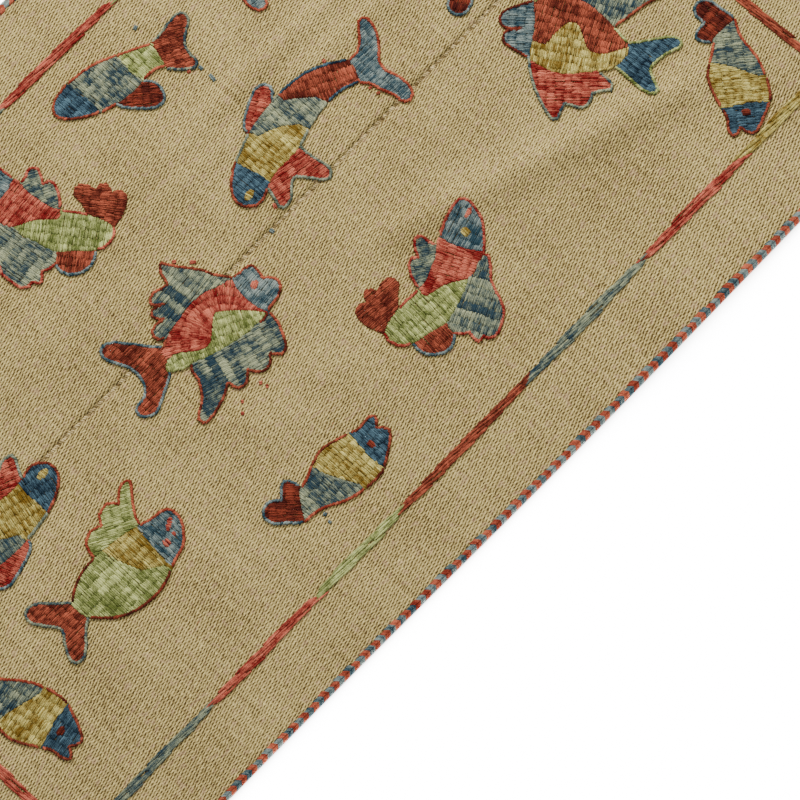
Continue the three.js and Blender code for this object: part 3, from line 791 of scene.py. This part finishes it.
def stem_stitch(sewing, place, outline, others, rng, wool):
    """A rope of slanted stitches along the parts of an outline where no other patch lies."""
    thread = bpy.context.scene.rug_thread
    points = resample(outline, thread.outline_step)
    count = len(points)
    turning = sum(points[i - 1].cross(points[i]) for i in range(count))
    inward = 1 if turning > 0 else -1
    for i, point in enumerate(points):
        if min((gap_to(point, other) for other in others), default=1.0) < TOUCHING:
            continue
        along = (points[(i + 1) % count] - points[i - 1]).normalized()
        inside = Vector((-along.y, along.x)) * inward
        middle = point + inside * STEM_INWARD * thread.outline_width
        middle = middle + inside * rng.gauss(0, STEM_STRAY)
        slant = along * STEM_ALONG + inside * STEM_LEAN
        half = thread.outline_step * rng.uniform(0.7, 1.05)
        tone = tone_at("block", i * thread.outline_step, 0, wool + STEM_SEED)
        tone += rng.gauss(0, 0.2)
        sewing.thread(
            place.out(middle - slant * half), place.out(middle + slant * half),
            thread.outline_width * STEM_HALF_WIDTH, STEM_HALF_HEIGHT, CLOTH_TOP + STEM_LIFT,
            STEM_ARCH, tone, wool)


MARK_SIDES = 16
MARK_LIFT = 0.6 * MM  # a mark lies over the stitches of its patch
MARK_ROW = 12 * MM  # wide enough for one stitch to cross a mark


def slot_wool(wool):
    """The record's wool that stands nearest to a wool of the embroidery."""
    return {"moss": "green", "undyed": "ground"}.get(wool, wool)


def embroider(letter, source, place, rng):
    """One fish, patch by patch, with its outline and its marks."""
    drawing = DRAWINGS[source]
    home = Place(*WORKED[source])
    outlines = {
        part: [home.back(p) for p in outline_of(f"fish_{source}_{part}")] for part in drawing}
    whole = None if letter == source else Sewing(f"fish_{letter}_stitches")
    for index, (part, (wool, edge, rows, style)) in enumerate(drawing.items()):
        sewing = whole or Sewing(f"fish_{letter}_{part}_stitches")
        outline = outlines[part]
        seed = index + ord(letter) * 1.3
        satin(sewing, place, outline, rows, style, rng, sewing.use(wool), seed=seed)
        if edge:
            others = [o for name, o in outlines.items() if name != part]
            stem_stitch(sewing, place, outline, others, rng, sewing.use(edge))
        if not whole:
            sewing.finish(f"{slot_wool(wool)}_wool", [f"fish_{letter}_{part}"])
    if whole:
        first = next(iter(drawing.values()))[0]
        whole.finish(f"{slot_wool(first)}_wool", [f"fish_{letter}"])
    for mark in MARKS.get(source, ()):
        work_mark(letter, place, rng, *mark)


def work_mark(letter, place, rng, name, wool, middle, size, turn):
    """An oval eye, mouth or spot over the stitches of its patch."""
    sewing = Sewing(f"fish_{letter}_{name}")
    wide, high = (side / 2 * MM for side in size)
    turns = [math.tau * i / MARK_SIDES for i in range(MARK_SIDES)]
    own = Place(middle, turn)
    rim = [own.out((math.cos(t) * wide, math.sin(t) * high)) for t in turns]
    satin(
        sewing, place, rim, turn, "plain", rng, sewing.use(wool), low=MARK_LIFT,
        seed=ord(letter), row_width=MARK_ROW)
    sewing.finish(f"{slot_wool(wool)}_wool")


# ---- border, binding and seam ----
# The runs of a border line: where each starts, in millimetres, and its wool.
RIGHT_RUNS = (
    (-438, "slate"), (-286, "red"), (-169, "green"), (-74, "brick"), (72, "slate"), (211, "red"),
    (330, "gold"), (438, ""))
LEFT_RUNS = (
    (-438, "brick"), (-300, "gold"), (-176, "slate"), (-52, "red"), (80, "green"), (205, "brick"),
    (318, "slate"), (438, ""))
TOP_RUNS = ((-229, "red"), (-110, "slate"), (8, "gold"), (118, "brick"), (229, ""))
BOTTOM_RUNS = ((-229, "gold"), (-108, "brick"), (6, "slate"), (122, "red"), (229, ""))

LANES = 6  # threads side by side
LINE_WIDTH = 7.0 * MM
RUN_OVERLAP = 9 * MM  # how far a run reaches into the next
RUN_SLANT = 16 * MM  # how far one side of a run's end lies ahead of the other
LEAST_STITCH = 6 * MM
LONG_STITCH = (12 * MM, 22 * MM)
STITCH_OVERLAP = 1.5 * MM
THIN_END, SWELL = 0.66, 0.5  # the line's width at a run's ends, and what its middle adds
DRIFT_OUT, DRIFT_SPREAD, LANE_STRAY = 0.9 * MM, 0.5 * MM, 0.25 * MM
BORDER_HALF_WIDTH = 0.68  # beside the thread's width
BORDER_HALF_HEIGHT, BORDER_LIFT = 0.65 * MM, 0.1 * MM
BORDER_ARCH = (0.75 * MM, 1.2 * MM)
BORDER_SEED = 2.5


def stitch_border(node, runs, along_y, offset, slot_name, rng):
    """Long stitches laid side by side along a line, one run of wool after another."""
    thread = bpy.context.scene.rug_thread
    sewing = Sewing(f"{node}_stitches")

    def point(along, across):
        return (offset + across, along) if along_y else (along, offset + across)

    for (start, wool), (end, _) in zip(runs, runs[1:]):
        number = sewing.use(wool)
        start, end = start * MM, end * MM
        slope = rng.choice((-1, 1))
        for lane in range(LANES):
            place = (lane - (LANES - 1) / 2) / LANES
            slant = (place * slope + 0.5) * RUN_SLANT
            at = start - RUN_OVERLAP + slant
            stop = end + RUN_OVERLAP + slant - RUN_SLANT
            while at < stop - LEAST_STITCH:
                reach = min(stop, at + rng.uniform(*LONG_STITCH))
                middle = ((at + reach) / 2 - start) / (end - start)
                swell = THIN_END + SWELL * math.sin(math.pi * max(0.0, min(1.0, middle)))
                a = place * LINE_WIDTH * swell + rng.gauss(0, LANE_STRAY)
                b = a + rng.gauss(DRIFT_OUT, DRIFT_SPREAD)
                tone = tone_at("block", at * 0.5, lane * 0.5, number + BORDER_SEED)
                tone += rng.gauss(0, 0.1)
                sewing.thread(
                    point(at - STITCH_OVERLAP, a), point(reach + STITCH_OVERLAP, b),
                    thread.border_thread * BORDER_HALF_WIDTH, BORDER_HALF_HEIGHT,
                    CLOTH_TOP + BORDER_LIFT, rng.uniform(*BORDER_ARCH), tone, number)
                at = reach
    return sewing.finish(slot_name, [node])


# A bundle's strands lean one way on top of the edge and back again down its side. Each place
# is how far in from the edge it lies.
TOP_STARTS = (6.8 * MM, 8.6 * MM)
TOP_ENDS, SIDE_STARTS, SIDE_ENDS = 3.3 * MM, 4.2 * MM, 0.4 * MM
STRAND_LEAN = 4.4 * MM
STRAND_HALF_WIDTH = 0.62  # beside the strands' pitch
TOP_HALF_HEIGHT, TOP_ARCH = 0.72 * MM, 0.75 * MM
SIDE_HALF_HEIGHT, SIDE_ARCH = 1.0 * MM, 1.2 * MM
SIDE_HIGH = 2.0 * MM
BUNDLE_TONES = (0.3, 0.72)
CORNER_ROOM = 3 * MM  # left free at a corner, where two edges' yarn meets
# The yarn that fills the edge under the strands.
CORE_STEP, CORE_IN, CORE_HIGH, CORE_ROOM = 10 * MM, 3.4 * MM, 1.5 * MM, 4 * MM
CORE_HALF_WIDTH, CORE_HALF_HEIGHT, CORE_TONE = 3.0 * MM, 1.25 * MM, 0.3


def bind_edge(node, along_y, sign, rng):
    """Two-colour yarn whipped round one edge: strands lean one way on top and back below."""
    cloth = bpy.context.scene.rug_cloth
    sewing = Sewing(f"{node}_yarn")
    reach = HALF_LENGTH if along_y else HALF_WIDTH
    edge = HALF_WIDTH if along_y else HALF_LENGTH
    rust, blue = sewing.use("rust"), sewing.use("pale_blue")
    bundles = round(2 * reach / cloth.bundle)
    step = 2 * reach / bundles
    pitch = step / cloth.strands
    wide = pitch * STRAND_HALF_WIDTH

    def point(along, in_from_edge):
        across = sign * (edge - in_from_edge)
        return (across, along) if along_y else (along, across)

    for i in range(bundles):
        wool = rust if i % 2 else blue
        bundle_tone = rng.uniform(*BUNDLE_TONES)
        inner = rng.uniform(*TOP_STARTS)
        for strand in range(cloth.strands):
            at = -reach + i * step + (strand + 0.5) * pitch
            if abs(at) > reach - CORNER_ROOM:
                continue
            tone = bundle_tone + rng.gauss(0, 0.13)
            low, high = at - STRAND_LEAN / 2, at + STRAND_LEAN / 2
            sewing.thread(
                point(low, inner), point(high, TOP_ENDS), wide, TOP_HALF_HEIGHT, CLOTH_TOP,
                TOP_ARCH, tone, wool)
            # The strand down the edge's side is 0.05 deeper than its top strand: painted shade on
            # the side.
            sewing.thread(
                point(high, SIDE_STARTS), point(low, SIDE_ENDS), wide, SIDE_HALF_HEIGHT,
                SIDE_HIGH, SIDE_ARCH, tone - 0.05, wool)
    pieces = round(2 * reach / CORE_STEP)
    for i in range(pieces):
        at = -reach + (i + 0.5) * 2 * reach / pieces
        if abs(at) > reach - CORE_ROOM:
            continue
        half = CORE_STEP * 0.7
        sewing.thread(
            point(at - half, CORE_IN), point(at + half, CORE_IN), CORE_HALF_WIDTH,
            CORE_HALF_HEIGHT, CORE_HIGH, 0.0, CORE_TONE, blue)
    return sewing.finish("rust_wool", [node])


SEAM_STEP = 1.9 * MM
SEAM_END = 7 * MM  # from the rug's end to the seam's
PULL_LENGTH = 8.3 * MM  # from one lump of the lacing to the next
LACE_REACH = (1.5 * MM, 3.0 * MM)
LACE_LEAN = 1.4 * MM
LACE_HALF_WIDTH, LACE_HALF_HEIGHT, LACE_SINK = 0.95 * MM, 0.7 * MM, 1.15 * MM
SEAM_CORE_STEP, SEAM_CORE_HALF, SEAM_CORE_START = 10 * MM, 7 * MM, 12 * MM
SEAM_CORE_WIDE, SEAM_CORE_HIGH, SEAM_CORE_SINK = 1.6 * MM, 0.9 * MM, 1.9 * MM


def sew_seam(rng):
    """Undyed yarn laced from strip to strip, with a lump wherever it pulls."""
    sewing = Sewing("centre_seam_lacing")
    wool = sewing.use("undyed")
    run = 2 * (HALF_LENGTH - SEAM_END)
    for i in range(int(run / SEAM_STEP)):
        at = -HALF_LENGTH + SEAM_END + (i + 0.5) * SEAM_STEP
        reach = rng.uniform(*LACE_REACH)
        pull = 0.5 + 0.5 * math.sin(at / PULL_LENGTH * math.tau)
        # Painted light: the lacing is paler where its lump rises and deeper between lumps, a
        # painted highlight and painted shade that follow the pull.
        tone = 0.25 + 0.5 * pull + rng.gauss(0, 0.12)
        sewing.thread(
            (-reach, at - LACE_LEAN), (reach, at + LACE_LEAN), LACE_HALF_WIDTH,
            LACE_HALF_HEIGHT, CLOTH_TOP - LACE_SINK, (0.5 + 0.7 * pull) * MM, tone, wool)
    for i in range(int(run / SEAM_CORE_STEP)):
        at = -HALF_LENGTH + SEAM_CORE_START + i * SEAM_CORE_STEP
        sewing.thread(
            (0, at - SEAM_CORE_HALF), (0, at + SEAM_CORE_HALF), SEAM_CORE_WIDE,
            SEAM_CORE_HIGH, CLOTH_TOP - SEAM_CORE_SINK, 0.0, 0.0, wool)
    return sewing.finish("ground_wool", ["centre_seam"])


# ---- operators ----
STRAY_HALF_WIDTH, STRAY_HALF_HEIGHT = 0.8 * MM, 0.6 * MM
STRAY_LIFT, STRAY_ARCH = 0.1 * MM, 0.8 * MM
FLOOR_SIZE = 6
SHADE_REACH = 0.03  # how far from the rug its shade on the floor reaches
# Painted shadow: the colour of the floor's glow right beside the rug.
SHADE_COLOUR = (0.07, 0.066, 0.058)
KEY_PLACE = Vector((-1.9, 1.4, 2.1))
KEY_AIM = Vector((0.05, 0, 0))
KEY_SIZE = 0.7
SENSOR = 36  # millimetres


class RUG_OT_weave_ground(bpy.types.Operator):
    """Weave the two strips of the ground"""
    bl_idname = "rug.weave_ground"
    bl_label = "Weave Ground"

    def execute(self, context):
        weave_strip("ground_cloth_right", 1, "woven_strip_right")
        weave_strip("ground_cloth_left", -1, "woven_strip_left")
        return {"FINISHED"}


class RUG_OT_sew_seam(bpy.types.Operator):
    """Lace the two strips together"""
    bl_idname = "rug.sew_seam"
    bl_label = "Sew Seam"

    def execute(self, context):
        sew_seam(random.Random(11))
        return {"FINISHED"}


class RUG_OT_bind_edges(bpy.types.Operator):
    """Whip two-colour yarn round the four edges"""
    bl_idname = "rug.bind_edges"
    bl_label = "Bind Edges"

    def execute(self, context):
        rng = random.Random(23)
        bind_edge("edge_binding_right", True, 1, rng)
        bind_edge("edge_binding_left", True, -1, rng)
        bind_edge("edge_binding_top", False, 1, rng)
        bind_edge("edge_binding_bottom", False, -1, rng)
        return {"FINISHED"}


class RUG_OT_stitch_borders(bpy.types.Operator):
    """Lay the long stitches of the four border lines"""
    bl_idname = "rug.stitch_borders"
    bl_label = "Stitch Borders"

    def execute(self, context):
        rng = random.Random(37)
        stitch_border("border_line_right", RIGHT_RUNS, True, BORDER_X, "red_wool", rng)
        stitch_border("border_line_left", LEFT_RUNS, True, -BORDER_X, "slate_wool", rng)
        stitch_border("border_line_top", TOP_RUNS, False, BORDER_Y, "gold_wool", rng)
        stitch_border("border_line_bottom", BOTTOM_RUNS, False, -BORDER_Y, "brick_wool", rng)
        return {"FINISHED"}


class RUG_OT_embroider_fish(bpy.types.Operator):
    """Embroider every fish on the ground"""
    bl_idname = "rug.embroider_fish"
    bl_label = "Embroider Fish"

    def execute(self, context):
        for letter, (middle, turn) in WORKED.items():
            embroider(letter, letter, Place(middle, turn), random.Random(letter))
        for letter, (source, middle, turn, mirror) in REPEATED.items():
            embroider(letter, source, Place(middle, turn, mirror), random.Random(letter))
        return {"FINISHED"}


class RUG_OT_stray_stitches(bpy.types.Operator):
    """Work the short stray stitches that stand beside the fish"""
    bl_idname = "rug.stray_stitches"
    bl_label = "Stray Stitches"

    def execute(self, context):
        rng = random.Random(41)
        sewing = Sewing("stray_stitches")
        for letter, stitches in STRAYS.items():
            place = Place(*WORKED[letter])
            for wool, middle, span, turn in stitches:
                number = sewing.use(wool)
                angle = math.radians(turn)
                half = Vector((math.cos(angle), math.sin(angle))) * span * MM / 2
                beside = Vector((-half.y, half.x)).normalized() * STRAY_HALF_WIDTH
                for side in (-1, 1):
                    at = Vector(middle) * MM + beside * side
                    sewing.thread(
                        place.out(at - half), place.out(at + half), STRAY_HALF_WIDTH,
                        STRAY_HALF_HEIGHT, CLOTH_TOP + STRAY_LIFT, STRAY_ARCH,
                        rng.uniform(0.3, 0.8), number)
        sewing.finish("red_wool")
        return {"FINISHED"}


class RUG_OT_set_stage(bpy.types.Operator):
    """Set the floor, the light and the camera"""
    bl_idname = "rug.set_stage"
    bl_label = "Set Stage"

    def execute(self, context):
        stage = context.scene.rug_stage
        bm = bmesh.new()
        bmesh.ops.create_grid(bm, x_segments=1, y_segments=1, size=FLOOR_SIZE)
        floor = linked("floor", mesh_from(bm, "floor"))
        paint = Paint("white floor")
        paint.feed(paint.shader.inputs["Base Color"], (0.9, 0.9, 0.9, 1))
        paint.feed(paint.shader.inputs["Roughness"], 0.9)
        paint.feed(paint.shader.inputs["Specular IOR Level"], 0.0)
        # Painted shadow: ambient occlusion darkens the floor's glow where the rug stands near it.
        open_air = paint.node(
            "ShaderNodeAmbientOcclusion", {"samples": 8}, {"Distance": SHADE_REACH})[1]
        glow = paint.mix(open_air ** 2.0, SHADE_COLOUR, (1, 1, 1))
        paint.feed(paint.shader.inputs["Emission Color"], glow)
        paint.feed(paint.shader.inputs["Emission Strength"], stage.floor_glow)
        floor.data.materials.append(paint.material)

        aim = Vector(stage.aim)
        a, e = stage.azimuth, stage.elevation
        back = Vector((math.sin(a) * math.cos(e), -math.cos(a) * math.cos(e), math.sin(e)))
        lens = bpy.data.cameras.new("camera")
        lens.lens = stage.lens
        lens.sensor_width = SENSOR
        lens.clip_end = 50
        camera = linked("camera", lens)
        camera.location = aim + back * stage.distance
        camera.rotation_euler = (-back).to_track_quat("-Z", "Y").to_euler()
        context.scene.camera = camera

        lamp = bpy.data.lights.new("soft key", "AREA")
        lamp.shape = "SQUARE"
        lamp.size = KEY_SIZE
        lamp.energy = stage.key
        lamp.color = (1.0, 0.985, 0.96)
        key = linked("soft key", lamp)
        key.location = KEY_PLACE
        key.rotation_euler = (KEY_AIM - KEY_PLACE).to_track_quat("-Z", "Y").to_euler()

        world = context.scene.world or bpy.data.worlds.new("studio")
        context.scene.world = world
        world.use_nodes = True
        shade = next(n for n in world.node_tree.nodes if n.type == "BACKGROUND")
        shade.inputs["Color"].default_value = (0.95, 0.975, 1.0, 1)
        shade.inputs["Strength"].default_value = stage.fill
        return {"FINISHED"}


OPERATORS = (
    RUG_OT_set_stage, RUG_OT_weave_ground, RUG_OT_sew_seam, RUG_OT_bind_edges,
    RUG_OT_stitch_borders, RUG_OT_embroider_fish, RUG_OT_stray_stitches)
GROUPS = {
    "rug_cloth": RugCloth, "rug_thread": RugThread, "rug_wools": RugWools, "rug_stage": RugStage}


class RUG_PT_workshop(bpy.types.Panel):
    """The rug's sizes, wools and steps"""
    bl_label = "Embroidered Rug"
    bl_idname = "RUG_PT_workshop"
    bl_space_type = "VIEW_3D"
    bl_region_type = "UI"
    bl_category = "Rug"

    def draw(self, context):
        for operator in OPERATORS:
            self.layout.operator(operator.bl_idname)
        for name, group in GROUPS.items():
            box = self.layout.box()
            for field in group.__annotations__:
                box.prop(getattr(context.scene, name), field)


def register():
    for group in GROUPS.values():
        bpy.utils.register_class(group)
    for name, group in GROUPS.items():
        setattr(bpy.types.Scene, name, PointerProperty(type=group))
    for operator in OPERATORS:
        bpy.utils.register_class(operator)
    bpy.utils.register_class(RUG_PT_workshop)


def unregister():
    bpy.utils.unregister_class(RUG_PT_workshop)
    for operator in reversed(OPERATORS):
        bpy.utils.unregister_class(operator)
    for name, group in GROUPS.items():
        delattr(bpy.types.Scene, name)
        bpy.utils.unregister_class(group)


def main():
    register()
    bpy.ops.rug.set_stage()
    bpy.ops.rug.weave_ground()
    bpy.ops.rug.sew_seam()
    bpy.ops.rug.bind_edges()
    bpy.ops.rug.stitch_borders()
    bpy.ops.rug.embroider_fish()
    bpy.ops.rug.stray_stitches()


if __name__ == "__main__":
    main()
